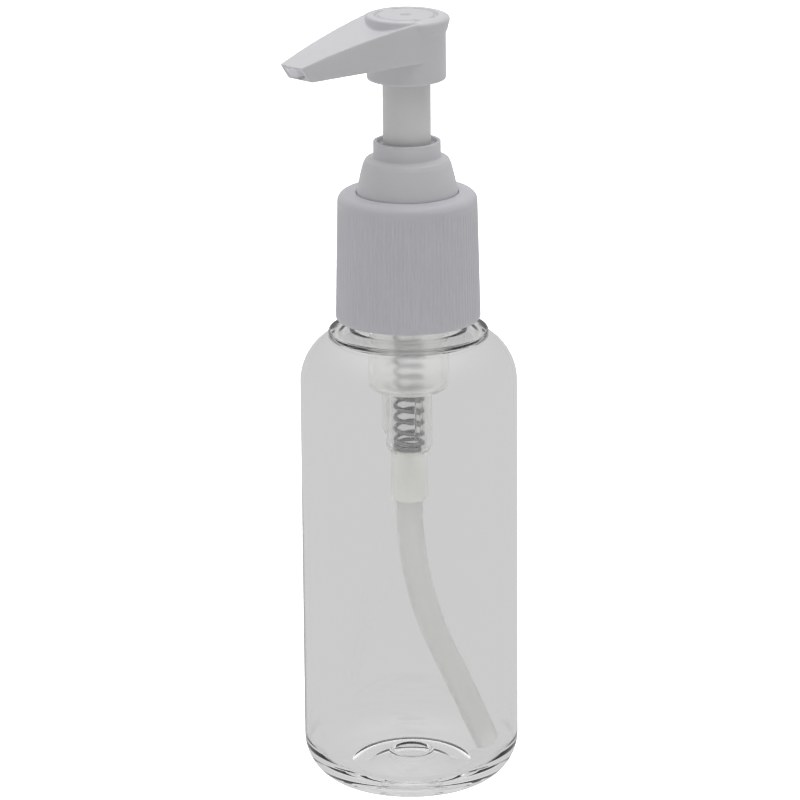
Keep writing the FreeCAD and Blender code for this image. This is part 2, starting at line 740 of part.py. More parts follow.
def saddle(body):
    """The spout's top: hollow across, and falling in a long arc about a level axis from pad to tip."""
    cross = size("dim.saddle_cross")
    span = size("dim.lip_rad + dim.saddle_margin")
    rise = cross - math.sqrt(cross ** 2 - span ** 2)
    axis_level = "dim.saddle_floor - dim.saddle_crown"
    outline = make_sketch(body, "saddle_outline")
    draw_outline(outline, [
        (-span, f"dim.saddle_floor + {rise}", "dim.saddle_cross", 1),
        (span, f"dim.saddle_floor + {rise}"),
        (span, "dim.pad_top + 3 * dim.overrun"),
        (-span, "dim.pad_top + 3 * dim.overrun"),
    ])
    ends = [Vector(across, size(axis_level), 0) for across in (-span, span)]
    hinge = outline.addGeometry(Part.LineSegment(*ends), True)
    pin_point(outline, hinge, 1, -span, axis_level)
    pin_point(outline, hinge, 2, span, axis_level)
    before = body.Shape.Volume
    groove = body.newObject("PartDesign::Groove", "saddle_cut")
    groove.Profile = outline
    groove.ReferenceAxis = (outline, ["Axis0"])
    groove.setExpression("Angle", "dim.saddle_sweep")
    doc.recompute()
    if removed_rear(body):
        groove.Reversed = True
        doc.recompute()
    if body.Shape.Volume >= before:
        raise RuntimeError("the saddle cut removed nothing")


def channel(body):
    """The way out for the soap: a round channel that opens into a wide shallow mouth."""
    section = make_sketch(body, "channel_section")
    draw_circle(section, 0, "dim.channel_level", "dim.channel_rad")
    bore = body.newObject("PartDesign::Pocket", "channel")
    bore.Profile = section
    lengthwise(bore, "dim.spout_reach + dim.overrun", reverse=True)
    inner_end = "dim.spout_reach - dim.spout_slant / 2 - dim.outlet_depth"
    low_edge = "dim.channel_level - dim.outlet_height / 2"
    high_edge = "dim.channel_level + dim.outlet_height / 2"
    mouth = make_sketch(body, "outlet_section", level=inner_end)
    draw_outline(mouth, [
        ("-dim.outlet_width / 2", low_edge),
        ("dim.outlet_width / 2", low_edge),
        ("dim.outlet_width / 2", high_edge),
        ("-dim.outlet_width / 2", high_edge),
    ])
    outlet = body.newObject("PartDesign::Pocket", "outlet")
    outlet.Profile = mouth
    lengthwise(outlet, "2 * dim.spout_slant + dim.outlet_depth", reverse=True)


def make_head():
    """The push head: round body with a tapering spout, finger pad, socket for the stem and channel."""
    body = make_body("head")
    spout_blank(body)
    joined_level = "dim.spout_under + dim.overrun"
    turned(body, "head_skirt", [
        (0, "dim.skirt_bottom"),
        ("dim.skirt_rad - dim.skirt_ease", "dim.skirt_bottom"),
        ("dim.skirt_rad", "dim.skirt_bottom + dim.skirt_ease"),
        ("dim.skirt_rad", joined_level),
        (0, joined_level),
    ])
    turned(body, "head_lip", [
        (0, "dim.lip_top - dim.lip_height"),
        ("dim.skirt_rad", "dim.lip_top - dim.lip_height"),
        ("dim.lip_rad", "dim.lip_top - dim.lip_flare_end"),
        ("dim.lip_rad", "dim.lip_top - dim.lip_ease"),
        ("dim.lip_rad - dim.lip_ease", "dim.lip_top"),
        (0, "dim.lip_top"),
    ])
    slanted_tip(body)
    saddle(body)
    turned(body, "finger_pad", [
        (0, "dim.pad_foot - dim.overrun"),
        ("dim.skirt_rad", "dim.pad_foot - dim.overrun"),
        ("dim.pad_foot_rad", "dim.pad_foot"),
        ("dim.pad_rad", "dim.pad_top - dim.pad_ease"),
        ("dim.pad_rad - dim.pad_ease", "dim.pad_top"),
        (0, "dim.pad_top"),
    ])
    outside = "dim.skirt_bottom - dim.overrun"
    turned(body, "skirt_hollow", [
        ("dim.boss_rad", outside),
        ("dim.skirt_bore", outside),
        ("dim.skirt_bore", "dim.cavity_top"),
        ("dim.boss_rad", "dim.cavity_top"),
    ], cut=True)
    chamber_top = "dim.channel_level + dim.channel_rad + dim.channel_roof"
    turned(body, "stem_socket", [
        (0, outside),
        ("dim.boss_rad", outside),
        ("dim.boss_rad", "dim.boss_bottom"),
        ("dim.stem_rad", "dim.boss_bottom"),
        ("dim.stem_rad", "dim.stem_top"),
        ("dim.stem_bore", "dim.stem_top"),
        ("dim.stem_bore", chamber_top),
        (0, chamber_top),
    ], cut=True)
    channel(body)
    return body


def main():
    """Build every piece, check it and write its STEP file."""
    pieces = [
        make_bottle(),
        make_closure(),
        make_gasket(),
        make_housing(),
        make_dip_tube(),
        make_ball(),
        make_spring(),
        make_valve_core(),
        make_piston(),
        make_stem(),
        make_chaplet(),
        make_head(),
    ]
    doc.recompute()
    for item in doc.Objects:
        if "Invalid" in item.State or "Error" in item.State:
            raise RuntimeError(f"{item.Label} did not recompute: {item.State}")
    os.makedirs("parts", exist_ok=True)
    for piece in pieces:
        shape = piece.Shape
        if shape.isNull() or not shape.isValid() or len(shape.Solids) != 1:
            raise RuntimeError(f"{piece.Label} has no single valid solid")
        shape.exportStep(f"parts/{piece.Label}.step")
        box = shape.BoundBox
        print(
            f"{piece.Label}: {shape.Volume:.1f} mm3,"
            f" x {box.XMin:.2f}..{box.XMax:.2f}, y {box.YMin:.2f}..{box.YMax:.2f},"
            f" z {box.ZMin:.2f}..{box.ZMax:.2f}"
        )


main()
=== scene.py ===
import math

import bmesh
import bpy
import numpy as np
from mathutils import Matrix, Vector


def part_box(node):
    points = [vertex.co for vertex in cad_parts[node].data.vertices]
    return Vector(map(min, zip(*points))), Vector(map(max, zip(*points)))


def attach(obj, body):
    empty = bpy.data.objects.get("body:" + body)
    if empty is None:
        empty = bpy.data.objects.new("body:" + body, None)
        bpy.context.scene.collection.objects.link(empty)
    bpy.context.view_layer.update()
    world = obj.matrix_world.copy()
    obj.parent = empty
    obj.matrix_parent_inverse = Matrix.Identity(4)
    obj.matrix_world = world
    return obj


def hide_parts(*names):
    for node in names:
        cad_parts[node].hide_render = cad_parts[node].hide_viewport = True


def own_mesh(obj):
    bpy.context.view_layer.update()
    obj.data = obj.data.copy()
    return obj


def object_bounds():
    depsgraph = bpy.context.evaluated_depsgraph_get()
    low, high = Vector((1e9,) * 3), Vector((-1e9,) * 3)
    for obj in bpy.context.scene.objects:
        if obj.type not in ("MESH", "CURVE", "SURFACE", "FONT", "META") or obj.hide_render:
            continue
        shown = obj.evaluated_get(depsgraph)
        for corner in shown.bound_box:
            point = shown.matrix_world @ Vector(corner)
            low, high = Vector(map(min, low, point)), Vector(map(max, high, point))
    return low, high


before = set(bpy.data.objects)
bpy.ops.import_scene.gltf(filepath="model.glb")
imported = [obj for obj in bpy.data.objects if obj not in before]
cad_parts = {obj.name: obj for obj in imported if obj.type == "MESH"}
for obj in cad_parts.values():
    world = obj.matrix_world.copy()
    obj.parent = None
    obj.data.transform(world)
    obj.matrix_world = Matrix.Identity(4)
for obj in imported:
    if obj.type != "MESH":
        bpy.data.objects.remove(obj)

MM = 0.001
CAD_BOX = [list(corner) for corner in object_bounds()]


def low(node):
    """A CAD node's lowest corner in millimetres."""
    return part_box(node)[0] / MM


def high(node):
    """A CAD node's highest corner in millimetres."""
    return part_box(node)[1] / MM


# ---------------------------------------------------------------- outlines, in millimetres

def arc_points(start, end, radius, turn):
    """Points of an arc from start to end, both left in: turn is 1 anticlockwise and -1 clockwise."""
    start, end = Vector(start), Vector(end)
    half = (end - start) / 2
    offset = math.sqrt(max(radius * radius - half.length_squared, 0.0))
    centre = start + half + Vector((-half.y, half.x)).normalized() * offset * turn
    first = math.atan2(start.y - centre.y, start.x - centre.x)
    last = math.atan2(end.y - centre.y, end.x - centre.x)
    sweep = (last - first) * turn % (2 * math.pi) * turn
    steps = max(4, round(abs(sweep) / math.radians(4)))
    return [
        (centre.x + radius * math.cos(first + sweep * k / steps),
         centre.y + radius * math.sin(first + sweep * k / steps))
        for k in range(steps + 1)
    ]


def soften(corners):
    """A closed outline with its corners rounded. A corner is (radius from axis, height, rounding)."""
    points = []
    count = len(corners)
    for number, (across, along, rounding) in enumerate(corners):
        here = Vector((across, along))
        before = Vector(corners[number - 1][:2]) - here
        after = Vector(corners[(number + 1) % count][:2]) - here
        if rounding <= 0 or before.length < 1e-6 or after.length < 1e-6:
            points.append((across, along))
            continue
        opening = before.angle(after)
        if opening > math.radians(178):
            points.append((across, along))
            continue
        reach = min(rounding / math.tan(opening / 2), 0.49 * before.length, 0.49 * after.length)
        if rounding > 2:
            reach = min(rounding / math.tan(opening / 2), before.length, after.length)
        radius = reach * math.tan(opening / 2)
        start = here + before.normalized() * reach
        end = here + after.normalized() * reach
        bend = 1 if before.x * after.y - before.y * after.x < 0 else -1
        points.extend(arc_points(start, end, radius, bend))
    return points


def new_object(name, vertices, faces, smooth_angle=35):
    """A mesh object from millimetre coordinates, with its normals outwards and smooth shading."""
    mesh = bpy.data.meshes.new(name)
    work = bmesh.new()
    made = [work.verts.new(Vector(v) * MM) for v in vertices]
    for face in faces:
        if len(set(face)) > 2:
            work.faces.new([made[i] for i in face])
    bmesh.ops.remove_doubles(work, verts=work.verts, dist=1e-8)
    bmesh.ops.recalc_face_normals(work, faces=work.faces)
    work.to_mesh(mesh)
    work.free()
    mesh.shade_smooth()
    mesh.set_sharp_from_angle(angle=math.radians(smooth_angle))
    piece = bpy.data.objects.new(name, mesh)
    bpy.context.scene.collection.objects.link(piece)
    return piece


def lathe(outline, segments=192, swell=None):
    """Vertices and faces of a closed outline turned about the axis.

    swell(angle, across, along) adds to the radius.
    """
    angles = [2 * math.pi * k / segments for k in range(segments)]
    vertices = []
    for angle in angles:
        for across, along in outline:
            wide = across + (swell(angle, across, along) if swell else 0.0)
            vertices.append((wide * math.cos(angle), wide * math.sin(angle), along))
    count = len(outline)
    faces = []
    for k in range(segments):
        near, far = k * count, (k + 1) % segments * count
        for n in range(count):
            m = (n + 1) % count
            if outline[n][0] < 1e-6 and outline[m][0] < 1e-6:
                continue
            faces.append((near + n, far + n, far + m, near + m))
    return vertices, faces


def sweep(path, section, closed_ends=True):
    """A closed section, in its own (normal, binormal) plane, carried along points with minimal twist."""
    points = [Vector(p) for p in path]
    last = len(points) - 1
    tangents = [
        (points[min(k + 1, last)] - points[max(k - 1, 0)]).normalized() for k in range(len(points))
    ]
    normal = tangents[0].orthogonal().normalized()
    vertices, faces = [], []
    count = len(section)
    for k, (point, tangent) in enumerate(zip(points, tangents)):
        normal = (normal - tangent * normal.dot(tangent)).normalized()
        binormal = tangent.cross(normal)
        vertices.extend(point + normal * a + binormal * b for a, b in section)
        if k:
            near, far = (k - 1) * count, k * count
            faces.extend(
                (near + n, near + (n + 1) % count, far + (n + 1) % count, far + n) for n in range(count)
            )
    if closed_ends:
        faces.append(tuple(range(count))[::-1])
        faces.append(tuple(range(len(vertices) - count, len(vertices))))
    return [tuple(v) for v in vertices], faces


def joined(*parts):
    """Several (vertices, faces) as one."""
    vertices, faces = [], []
    for some_vertices, some_faces in parts:
        base = len(vertices)
        vertices.extend(some_vertices)
        faces.extend(tuple(base + i for i in face) for face in some_faces)
    return vertices, faces


def helix_ridge(radius, foot, pitch, turns, section, steps_per_turn=72):
    """A thread ridge: the section is (outwards, upwards) from a helix, with ends that run out."""
    steps = round(turns * steps_per_turn)
    count = len(section)
    vertices, faces = [], []
    for k in range(steps + 1):
        angle = 2 * math.pi * k / steps_per_turn
        fade = min(1.0, 0.15 + 8.0 * min(k, steps - k) / steps_per_turn)
        centre = foot + pitch * angle / (2 * math.pi)
        for outwards, upwards in section:
            wide = radius + outwards * fade
            vertices.append((wide * math.cos(angle), wide * math.sin(angle), centre + upwards * fade))
        if k:
            near, far = (k - 1) * count, k * count
            faces.extend(
                (near + n, near + (n + 1) % count, far + (n + 1) % count, far + n) for n in range(count)
            )
    faces.append(tuple(range(count))[::-1])
    faces.append(tuple(range(steps * count, steps * count + count)))
    return vertices, faces


def ring_of(radius, count):
    """A round section."""
    return [(radius * math.cos(2 * math.pi * k / count), radius * math.sin(2 * math.pi * k / count))
            for k in range(count)]


# ---------------------------------------------------------------- materials

def arithmetic(tree, operation, *terms):
    """A sum node's result. Each term is a socket or a number."""
    made = tree.nodes.new("ShaderNodeMath")
    made.operation = operation
    for term, target in zip(terms, made.inputs):
        if isinstance(term, (int, float)):
            target.default_value = term
        else:
            tree.links.new(term, target)
    return made.outputs[0]


class Nodes:
    """A material's node tree with short names for what the materials here use."""

    def __init__(self, name):
        self.material = bpy.data.materials.new(name)
        self.material.use_nodes = True
        self.tree = self.material.node_tree
        self.shader = self.tree.nodes["Principled BSDF"]
        self.output = self.tree.nodes["Material Output"]
        place = self.tree.nodes.new("ShaderNodeTexCoord")
        self.place = place.outputs["Object"]

    def node(self, kind, **inputs):
        made = self.tree.nodes.new(kind)
        for key, value in inputs.items():
            made.inputs[key.replace("_", " ")].default_value = value
        return made

    def link(self, source, target):
        self.tree.links.new(source, target)

    def noise(self, scale, detail=3.0, roughness=0.5, stretch=None):
        """Noise on the object's own coordinates, in cycles per metre, stretched along an axis if asked."""
        made = self.node("ShaderNodeTexNoise", Scale=scale, Detail=detail, Roughness=roughness)
        source = self.place
        if stretch:
            mapping = self.node("ShaderNodeMapping")
            mapping.inputs["Scale"].default_value = stretch
            self.link(source, mapping.inputs["Vector"])
            source = mapping.outputs["Vector"]
        self.link(source, made.inputs["Vector"])
        return made.outputs["Fac"]

    def between(self, factor, low_value, high_value, from_low=0.3, from_high=0.7):
        """A number that follows a factor."""
        made = self.node("ShaderNodeMapRange")
        self.link(factor, made.inputs["Value"])
        ends = {"From Min": from_low, "From Max": from_high, "To Min": low_value, "To Max": high_value}
        for key, value in ends.items():
            made.inputs[key].default_value = value
        return made.outputs["Result"]

    def tint(self, factor, low_colour, high_colour, from_low=0.3, from_high=0.7):
        """A colour that follows a factor."""
        ramp = self.node("ShaderNodeValToRGB")
        self.link(factor, ramp.inputs["Fac"])
        ramp.color_ramp.elements[0].position = from_low
        ramp.color_ramp.elements[0].color = (*low_colour, 1)
        ramp.color_ramp.elements[1].position = from_high
        ramp.color_ramp.elements[1].color = (*high_colour, 1)
        return ramp.outputs["Color"]

    def bump(self, height, distance, strength=1.0):
        """Fine relief, in metres."""
        made = self.node("ShaderNodeBump", Strength=strength, Distance=distance)
        self.link(height, made.inputs["Height"])
        self.link(made.outputs["Normal"], self.shader.inputs["Normal"])

    def set(self, **values):
        """Constant values of the main shader."""
        for key, value in values.items():
            self.shader.inputs[key.replace("_", " ")].default_value = value

    def larger(self, *sources):
        """The larger of two numbers."""
        return arithmetic(self.tree, "MAXIMUM", *sources)

    def blend(self, share, first, second):
        """The surface: the first shader where the share is 0, the second where it is 1."""
        made = self.node("ShaderNodeMixShader")
        for source, target in zip((share, first, second), made.inputs):
            self.link(source, target)
        self.link(made.outputs[0], self.output.inputs["Surface"])


def darker(colour, share):
    """A colour multiplied by a share."""
    return tuple(c * share for c in colour)


def moulded_white(name, colour, roughness, grain=1400, relief=0.000004, glow=0.0):
    """White polypropylene: faint tonal drift, uneven gloss, a fine orange-peel skin and any painted glow.
    """
    n = Nodes(name)
    drift = n.noise(60, 2.0)
    gloss = n.noise(260, 4.0)
    n.link(n.tint(drift, darker(colour, 0.965), colour), n.shader.inputs["Base Color"])
    n.link(n.between(gloss, roughness - 0.02, roughness + 0.03), n.shader.inputs["Roughness"])
    n.bump(n.noise(grain, 4.0, 0.6), relief)
    # Painted glow: emission in the plastic's own colour, a part lit from within though it is no lamp.
    n.shader.inputs["Emission Color"].default_value = (*colour, 1)
    n.set(IOR=1.49, Subsurface_Weight=0.12, Subsurface_Scale=0.0015, Emission_Strength=glow)
    n.shader.inputs["Subsurface Radius"].default_value = (1.0, 0.95, 0.9)
    return n.material


def clear_plastic(name, colour, roughness, wave_relief, streak=(1, 1, 0.25)):
    """Clear PET: see-through, faintly grey, with the slow waves that blow moulding leaves in its wall."""
    n = Nodes(name)
    waves = n.noise(42, 1.5, 0.4, stretch=streak)
    haze = n.noise(700, 5.0, 0.7)
    n.link(n.between(haze, roughness, roughness + 0.03, 0.45, 0.75), n.shader.inputs["Roughness"])
    n.bump(waves, wave_relief)
    n.set(Transmission_Weight=1.0, IOR=1.42)
    n.shader.inputs["Base Color"].default_value = (*colour, 1)
    let_light_through(n, colour)
    return n.material


def let_light_through(n, colour):
    """Soft light and lamps reach what a clear wall holds without being traced as caustics."""
    ray = n.node("ShaderNodeLightPath")
    pane = n.node("ShaderNodeBsdfTransparent", Color=(*colour, 1))
    straight = n.larger(ray.outputs["Is Shadow Ray"], ray.outputs["Is Diffuse Ray"])
    n.blend(straight, n.shader.outputs[0], pane.outputs[0])


def milky_plastic(name, colour, roughness, clear_share, glow=0.0, relief=0.000001):
    """Natural polypropylene or polyethylene: light passes but is scattered, with faint flow marks; glow is
    painted light.
    """
    n = Nodes(name)
    flow = n.noise(120, 2.0, 0.5, stretch=(1, 1, 0.25))
    n.link(n.tint(flow, darker(colour, 0.985), colour), n.shader.inputs["Base Color"])
    n.link(n.between(flow, roughness - 0.02, roughness + 0.02), n.shader.inputs["Roughness"])
    n.bump(n.noise(1100, 3.0), relief)
    # Painted glow: emission in the plastic's colour, standing in for light scattered inside the wall.
    n.shader.inputs["Emission Color"].default_value = (*colour, 1)
    n.set(Transmission_Weight=clear_share, IOR=1.4, Emission_Strength=glow)
    let_light_through(n, darker(colour, clear_share))
    return n.material


def drawn_steel(name, colour, roughness, streaks):
    """Steel with fine drawing lines and slightly uneven tone."""
    n = Nodes(name)
    lines = n.noise(900, 3.0, 0.6, stretch=streaks)
    n.link(n.tint(lines, darker(colour, 0.8), colour), n.shader.inputs["Base Color"])
    n.link(n.between(lines, roughness - 0.08, roughness + 0.1), n.shader.inputs["Roughness"])
    n.bump(lines, 0.000006)
    n.set(Metallic=1.0)
    return n.material


WHITE = (0.64, 0.64, 0.665)
MATERIALS = {
    "closure": moulded_white("closure_white", (0.60, 0.60, 0.635), 0.42),
    "head": moulded_white("head_white", WHITE, 0.34),
    # The spout's mouth carries a painted glow (0.28): emission in the head's white, painted light.
    "mouth": moulded_white("mouth_white_painted_glow", WHITE, 0.5, glow=0.28),
    "chaplet": moulded_white("chaplet_white", (0.67, 0.67, 0.695), 0.38),
    # The stem's white is lighter than the head's: partly painted light offsetting the shade the head casts
    # on it, partly its more translucent plastic.
    "stem": moulded_white("stem_white", (0.75, 0.75, 0.755), 0.30, grain=900),
    "bottle": clear_plastic("clear_pet", (0.988, 0.990, 0.988), 0.0, 0.00012),
    # The cup, socket and tube carry a painted glow (their last number): emission that brightens them like
    # scattered light.
    "cup": milky_plastic("milky_cup", (0.985, 0.985, 0.975), 0.24, 0.84, 0.05),
    "barrel": milky_plastic("clear_barrel", (0.95, 0.95, 0.94), 0.06, 0.97),
    "socket": milky_plastic("milky_socket", (0.985, 0.98, 0.955), 0.4, 0.65, 0.09),
    "tube": milky_plastic("milky_tube", (0.985, 0.985, 0.975), 0.34, 0.75, 0.03),
    "spring": drawn_steel("spring_steel", (0.42, 0.42, 0.44), 0.28, (1, 1, 6)),
    "ball": drawn_steel("ball_steel", (0.72, 0.72, 0.73), 0.12, (1, 1, 1)),
    "gasket": moulded_white("gasket_liner", (0.72, 0.72, 0.70), 0.7, grain=2500, relief=0.00002),
    "valve_core": moulded_white("natural_core", (0.70, 0.70, 0.68), 0.4),
    "piston": moulded_white("natural_piston", (0.72, 0.72, 0.69), 0.5),
}


def finish_piece(piece, node, body, slot, *materials):
    """Materials, motion and bookkeeping for a piece that stands for a CAD node."""
    piece.data.materials.clear()
    for material in materials:
        piece.data.materials.append(material)
    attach(piece, body)
    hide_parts(node)
    return piece


# ---------------------------------------------------------------- bottle

BOTTLE_RAD = high("bottle").x
NECK_TOP = high("bottle").z
WALL = 0.8
FLOOR_RAD = 13.6
FLOOR_EDGE = 3.2
FLOOR_RISE = 1.5
FLOOR_ARC = 40.0
HEEL = 8.75
SHOULDER = 10.3
SHOULDER_START = 79.0
LEDGE_RAD = 15.1
LEDGE_TOP = SHOULDER_START + SHOULDER
NECK_RAD = 10.75
NECK_BORE = 9.2
PUSHUP = 3.0
GATE_RAD = 4.3
GATE_STEP = 0.5
PUSHUP_ARC = 17.0
PITCH = 3.175
THREAD_TURNS = 1.5
THREAD_FOOT = 104.4


def make_bottle():
    """The clear shell: push-up base with its gate ring, heel, wall, shoulder, ledge, threaded neck."""
    heel_centre = BOTTLE_RAD - HEEL
    shoulder_centre = BOTTLE_RAD - SHOULDER
    foot_inner = heel_centre - 0.85
    ledge_foot = SHOULDER_START + math.sqrt(SHOULDER ** 2 - (LEDGE_RAD - shoulder_centre) ** 2)
    inner_shoulder = SHOULDER - WALL
    inner_rad = BOTTLE_RAD - WALL
    inner_heel = inner_rad - FLOOR_RAD
    floor_top = FLOOR_EDGE + FLOOR_RISE
    edge = PUSHUP - GATE_STEP
    outline = [(0, PUSHUP)]
    outline += [(GATE_RAD - 0.25, PUSHUP), (GATE_RAD - 0.07, PUSHUP - 0.07), (GATE_RAD, PUSHUP - 0.25)]
    outline += arc_points((GATE_RAD, edge), (foot_inner, 0.12), PUSHUP_ARC, -1)
    outline += [(foot_inner + 0.2, 0.02), (foot_inner + 0.4, 0.0)]
    outline += arc_points((heel_centre, 0), (BOTTLE_RAD, HEEL), HEEL, 1)
    outline += arc_points((BOTTLE_RAD, SHOULDER_START), (LEDGE_RAD, ledge_foot), SHOULDER, 1)
    ledge = [(LEDGE_RAD, ledge_foot, 0), (LEDGE_RAD, LEDGE_TOP, 0.45), (NECK_RAD, LEDGE_TOP, 0.5),
             (NECK_RAD, NECK_TOP, 0.4), (NECK_BORE, NECK_TOP, 0.3), (NECK_BORE, LEDGE_TOP, 0)]
    outline += soften(ledge)[1:]
    inner_top = (shoulder_centre, SHOULDER_START + inner_shoulder)
    outline += arc_points(inner_top, (inner_rad, SHOULDER_START), inner_shoulder, -1)
    outline += arc_points((inner_rad, FLOOR_EDGE + inner_heel), (FLOOR_RAD, FLOOR_EDGE), inner_heel, -1)
    outline += arc_points((FLOOR_RAD, FLOOR_EDGE), (GATE_RAD, floor_top), FLOOR_ARC, 1)[1:]
    bead = [(0.1, 0.3), (0.35, 0.42), (0.7, 0.3), (0.95, 0.0)]
    outline += [(GATE_RAD - inwards, floor_top + rise) for inwards, rise in bead]
    outline.append((0, floor_top))
    shell = lathe(outline, 240)
    tall, wide = 0.8, 1.2
    ridge = helix_ridge(NECK_RAD, THREAD_FOOT, PITCH, THREAD_TURNS,
                        [(-0.12, -tall), (wide, -0.35), (wide, 0.35), (-0.12, tall)])
    piece = new_object("bottle_clear", *joined(shell, ridge), smooth_angle=50)
    return finish_piece(piece, "bottle", "bottle", "clear_pet", MATERIALS["bottle"])


# ---------------------------------------------------------------- closure

CLOSURE_LOW = low("closure").z
CLOSURE_TOP = high("closure").z
CLOSURE_FOOT_RAD = 13.65
CLOSURE_HEAD_RAD = 13.1
CLOSURE_BORE = 12.25
CLOSURE_HOLE = 9.6
DECK = 1.35
RIBS = 104
RIB_DEPTH = 0.11


def make_closure():
    """The ribbed screw collar, with its thread inside."""
    corners = [
        (CLOSURE_BORE, CLOSURE_LOW, 0.2),
        (CLOSURE_FOOT_RAD, CLOSURE_LOW, 0.35),
        (CLOSURE_HEAD_RAD, CLOSURE_TOP, 1.8),
        (CLOSURE_HOLE, CLOSURE_TOP, 0.2),
        (CLOSURE_HOLE, CLOSURE_TOP - DECK, 0.1),
        (CLOSURE_BORE, CLOSURE_TOP - DECK, 0.4),
    ]
    outline = soften(corners)
    dense = []
    for here, after in zip(outline, outline[1:] + outline[:1]):
        dense.append(here)
        if abs(after[1] - here[1]) > 5:
            dense += [tuple(Vector(here).lerp(Vector(after), k / 40)) for k in range(1, 40)]

    def rib(angle, across, along):
        if across < CLOSURE_HEAD_RAD - 0.2:
            return 0.0
        rise = min(1.0, max(0.0, (along - CLOSURE_LOW - 0.5) / 0.5))
        fall = min(1.0, max(0.0, (CLOSURE_TOP - 2.3 - along) / 0.6))
        wave = 0.5 - 0.5 * math.cos(RIBS * angle)
        return -RIB_DEPTH * wave ** 1.6 * rise * fall

    shell = lathe(dense, RIBS * 8, rib)
    ridge = helix_ridge(CLOSURE_BORE, THREAD_FOOT - PITCH / 2, PITCH, THREAD_TURNS,
                        [(-1.3, -0.3), (0.1, -0.65), (0.1, 0.65), (-1.3, 0.3)])
    piece = new_object("closure_ribbed", *joined(shell, ridge))
    return finish_piece(piece, "closure", "closure", "white_closure", MATERIALS["closure"])


# ---------------------------------------------------------------- chaplet and stem

def make_chaplet():
    """The domed guide collar with its upstanding lock ring."""
    base = NECK_TOP + 2.0
    foot = low("chaplet").z
    top = high("chaplet").z
    guide, sleeve, ring_rad, ring_bore = 4.57, 6.75, 6.33, 5.55
    dome_rad, dome_top = 9.5, 122.5
    corners = [
        (guide, foot, 0.2),
        (sleeve, foot, 0.2),
        (sleeve, base + 5, 0.3),
        (dome_rad - 1.4, base + 5, 0.3),
        (dome_rad - 1, base, 0.15),
        (11.3, base, 0.1),
        (11.3, base + 1, 0.1),
        (dome_rad, base + 1, 0.15),
        (dome_rad, CLOSURE_TOP + 0.2, 1.2),
        (dome_rad - 0.75, dome_top - 3.1, 2.0),
        (dome_rad - 1.25, dome_top - 1.2, 0.9),
        (ring_rad + 1.4, dome_top - 0.15, 1.0),
        (ring_rad, dome_top, 0.35),
        (ring_rad, top, 0.22),
        (ring_bore, top, 0.22),
        (ring_bore, top - 0.9, 0.2),
        (guide, top - 0.9, 0.3),
    ]
    piece = new_object("chaplet_dome", *lathe(soften(corners), 160), smooth_angle=60)
    return finish_piece(piece, "chaplet", "pump_core", "white_chaplet", MATERIALS["chaplet"])


def make_stem():
    """The hollow rod with its stop ring."""
    foot, top = low("stem").z, high("stem").z
    stop_top = low("chaplet").z - 0.05
    rad, bore, stop_rad, stop = 4.5, 3.2, 5.5, 1.3
    corners = [
        (bore, foot, 0.15),
        (rad, foot, 0.3),
        (rad, stop_top - stop - 0.6, 0.2),
        (stop_rad, stop_top - stop, 0.15),
        (stop_rad, stop_top, 0.15),
        (rad, stop_top, 0.1),
        (rad, top, 0.1),
        (bore, top, 0.1),
    ]
    piece = new_object("stem_rod", *lathe(soften(corners), 128))
    return finish_piece(piece, "stem", "head", "white_stem", MATERIALS["stem"])


# ---------------------------------------------------------------- housing, tube, spring

CUP_BOTTOM = 77.4
BARREL_BOTTOM = 65.2
SPRING_SEAT = 65.8
TUBE_TOP = 60.6
GUSSETS = 3
GUSSET_TURN = math.radians(-26)


